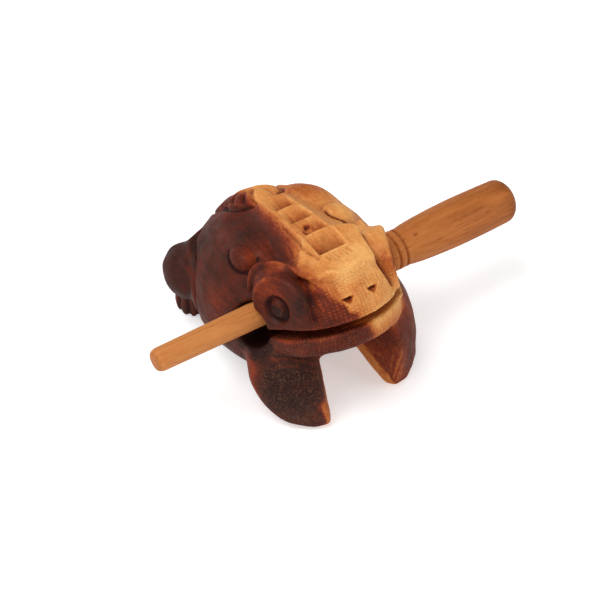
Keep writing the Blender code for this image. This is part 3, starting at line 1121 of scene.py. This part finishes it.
def scorched_wood():
    """Carved wood, gold where bare and red to black where scorched, with pores, chatter marks, painted shade
    in crevices and pale specks that are partly painted glints.
    """
    wood = Paint("scorched_wood")
    noise, stored, times = wood.noise, wood.stored, wood.times
    clouds = noise((0.09, 0.07, 0.09), -0.1, 0.1, detail=4, rough=0.6)
    streaks = noise((0.75, 0.06, 0.75), -0.07, 0.07, detail=3, rough=0.6)
    plain = wood.math('SUBTRACT', 1, stored("chatter"))
    grit = times(plain, noise((1.3, 0.9, 1.3), -0.06, 0.06, rough=0.6))
    pores = wood.remap(noise((3.2, 0.35, 3.2), detail=1), 0.8, 1, 0, 1)

    wander = noise((0.25, 0.25, 0.25), -0.25, 0.25)
    row = wood.math('SINE', times(wood.sum(stored("rows"), wander), 2 * pi / ROW_SPACING))
    dot = wood.math('SINE', times(wood.sum(stored("steps"), wander), 2 * pi / DOT_SPACING))
    bumps = times(wood.sum(row, ROW_WIDER), wood.sum(dot, DOT_WIDER))
    patchy = times(stored("chatter"), noise((0.2, 0.2, 0.2), 0.4, 1.2))
    marks = times(bumps, patchy)

    worn = times(stored("edge"), noise((0.5, 0.5, 0.5), 0.2, 1))
    level = wood.sum(
        stored("scorch_and_light"), clouds, streaks, grit, times(marks, MARK_LEVEL),
        times(pores, PORE_LEVEL), times(worn, EDGE_LEVEL))
    colour = wood.ramp(level, SCORCH_COLOURS)
    # Pale specks: partly dust and wax, partly painted glints on the dark wood
    specks_and_glints = wood.remap(noise((1.5, 1.5, 1.5)), 0.45, 0.95, 0, 0.5)
    specks_and_glints = times(specks_and_glints, noise((0.3, 0.3, 0.3), 0.1, 1))
    colour = wood.mix(times(specks_and_glints, stored("speckle_and_glint")), colour, SPECK_AND_GLINT_COLOUR)
    # Painted shade: the crevices multiply the colour darker
    colour = wood.mix(stored("crevice_shade"), colour, CREVICE_SHADE_COLOUR, 'MULTIPLY')
    wood.set("Base Color", colour)
    wood.set("Specular IOR Level", SHEEN)

    wood.set("Roughness", wood.sum(SCORCHED_ROUGH, noise((0.4, 0.25, 0.4), -0.1, 0.1, detail=3)))
    height = wood.sum(
        times(marks, MARK_RISE), times(streaks, STREAK_RISE),
        times(grit, GRIT_RISE), times(pores, PORE_RISE))
    wood.bump(height, SCORCHED_BUMP)
    return wood.material


# Light wood: colours by tone, and its bump as for the scorched wood
STICK_COLOURS = (
    (0, (0.6, 0.255, 0.08)),
    (0.35, (0.49, 0.178, 0.048)),
    (0.65, (0.4, 0.125, 0.029)),
    (1, (0.22, 0.058, 0.013)),
)
LIGHT_ROUGH = 0.48
LIGHT_BUMP = 0.12
LIGHT_PORE_RISE = -2


def light_wood():
    """Turned light wood with fine grain along the stick."""
    wood = Paint("light_wood")
    clouds = wood.noise((0.04, 0.12, 0.12), -0.1, 0.1, detail=3)
    streaks = wood.noise((0.035, 0.9, 0.9), -0.16, 0.16, detail=3, rough=0.6)
    pores = wood.remap(wood.noise((0.3, 3, 3), detail=1), 0.75, 1, 0, 0.22)
    level = wood.sum(wood.stored("tone"), clouds, streaks, pores)
    wood.set("Base Color", wood.ramp(level, STICK_COLOURS))
    wood.set("Specular IOR Level", SHEEN)
    wood.set("Roughness", wood.sum(LIGHT_ROUGH, wood.noise((0.2, 0.6, 0.6), -0.08, 0.08)))
    wood.bump(wood.sum(streaks, wood.times(pores, LIGHT_PORE_RISE)), LIGHT_BUMP)
    return wood.material


# Tone of the stick: plain, then what is added along x as (amount, start, end), in the grooves and at a knot
PLAIN_TONE = 0.32
TONES = (
    (0.28, 10, 36),
    (0.12, 44, 58),
    (0.25, STICK_LOW[0] + 1.2, STICK_LOW[0] + 0.2),
    (0.15, STICK_HIGH[0] - 9, STICK_HIGH[0] - 2),
)
GROOVE_TONE = 0.3
STICK_KNOT = (36, -20, 43.5)
KNOT_TONE = 0.5
KNOT_REACH = (0.9, 0.2)


def paint_stick(mesh):
    """Store the stick's tone: handle, grooves, end grain and a knot."""
    places = vectors_of(mesh.vertices, "co") / MM
    x = places[:, 0]
    tone = PLAIN_TONE + sum(amount * fade(x, start, end) for amount, start, end in TONES)
    for place in GROOVE_PLACES:
        tone = tone + GROOVE_TONE * fade(np.abs(x - place), GROOVE_WIDTH / 2, 0)
    tone = tone + KNOT_TONE * fade(length(*(places - STICK_KNOT).T), *KNOT_REACH)
    set_values(mesh, "tone", tone)


def finish_piece(item, body, node, material):
    """Give a piece its material and say what it stands for."""
    item.data.materials.append(material)
    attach(item, body)
    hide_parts(node)


frog_clay = sculpt_frog()
frog = mesh_from_clay(frog_clay, "carved_frog")
paint_frog(frog.data, frog_clay)
finish_piece(frog, "frog", "frog_body", scorched_wood())
stick = turn_stick("turned_stick")
paint_stick(stick.data)
finish_piece(stick, "stick", "striker_stick", light_wood())

# Camera, at the photograph's viewing angle; the scale is in pixels per metre
AZIMUTH = radians(-33)
ELEVATION = radians(46)
DISTANCE = 0.9
NEAREST = 0.01
PICTURE_SIDE = 600
PIXEL_SCALE = 3100
SENSOR = 36
TOE_POINT = Vector((0, -0.038, 0))
TOE_PIXEL = (351.5, 406)


def add_camera():
    """A camera that frames the frog as the photograph does."""
    back = Vector((
        sin(AZIMUTH) * cos(ELEVATION),
        -cos(AZIMUTH) * cos(ELEVATION),
        sin(ELEVATION)))
    right = Vector((cos(AZIMUTH), sin(AZIMUTH), 0))
    up = back.cross(right)
    across, down = ((pixel - PICTURE_SIDE / 2) / PIXEL_SCALE for pixel in TOE_PIXEL)
    target = TOE_POINT - right * across + up * down
    data = bpy.data.cameras.new("camera")
    data.sensor_width = SENSOR
    data.lens = SENSOR * PIXEL_SCALE * DISTANCE / PICTURE_SIDE
    data.clip_start = NEAREST
    placed = Matrix((right, up, back)).transposed().to_4x4()
    placed.translation = target + back * DISTANCE
    camera = new_object("camera", data)
    camera.matrix_world = placed
    bpy.context.scene.camera = camera


# Studio: a pale floor, a plain sky, and soft lamps as (place, size, watts) that face a target
WHITE = (1, 1, 1, 1)
FLOOR_SIDE = 6
FLOOR_COLOUR = (0.75, 0.75, 0.75, 1)
FLOOR_GLOW = 0.45
SKY = 0.35
LAMP_TARGET = Vector((0, -0.01, 0.03))
LAMPS = (
    ((-0.35, -0.05, 0.9), 0.5, 6.5),
    ((0.6, -0.7, 0.4), 0.6, 3.2),
    ((-0.9, -0.25, 0.4), 0.5, 1.5),
    ((-0.35, 0.85, 0.4), 0.6, 1.8),
)


def add_floor():
    """A pale floor that the camera sees as white, with a soft shadow."""
    half = FLOOR_SIDE / 2
    corners = [(-half, -half, 0), (half, -half, 0), (half, half, 0), (-half, half, 0)]
    mesh = bpy.data.meshes.new("floor")
    mesh.from_pydata(corners, [], [(0, 1, 2, 3)])
    floor = new_object("floor", mesh)
    paint = Paint("floor")
    paint.set("Base Color", FLOOR_COLOUR)
    paint.set("Roughness", 1)
    paint.set("Specular IOR Level", 0)
    paint.set("Emission Color", WHITE)
    glossy = paint.node("LightPath", output="Is Glossy Ray")
    paint.set("Emission Strength", paint.times(paint.math('SUBTRACT', 1, glossy), FLOOR_GLOW))
    mesh.materials.append(paint.material)


def add_sky():
    """A plain sky: dim as a light, white to the camera."""
    world = bpy.data.worlds.new("studio")
    world.use_nodes = True
    bpy.context.scene.world = world
    tree = world.node_tree
    sky = tree.nodes["Background"]
    sky.inputs["Color"].default_value = WHITE
    path = tree.nodes.new("ShaderNodeLightPath")
    brighter = tree.nodes.new("ShaderNodeMath")
    brighter.operation = 'MAXIMUM'
    brighter.inputs[0].default_value = SKY
    tree.links.new(path.outputs["Is Camera Ray"], brighter.inputs[1])
    tree.links.new(brighter.outputs[0], sky.inputs["Strength"])


def add_lamps():
    """Soft square lamps that face the frog."""
    for place, size, watts in LAMPS:
        data = bpy.data.lights.new("lamp", 'AREA')
        data.size = size
        data.energy = watts
        lamp = new_object("lamp", data)
        lamp.location = place
        lamp.rotation_euler = (LAMP_TARGET - Vector(place)).to_track_quat('-Z', 'Y').to_euler()


add_camera()
add_floor()
add_sky()
add_lamps()
bpy.context.scene.view_settings.view_transform = 'Standard'
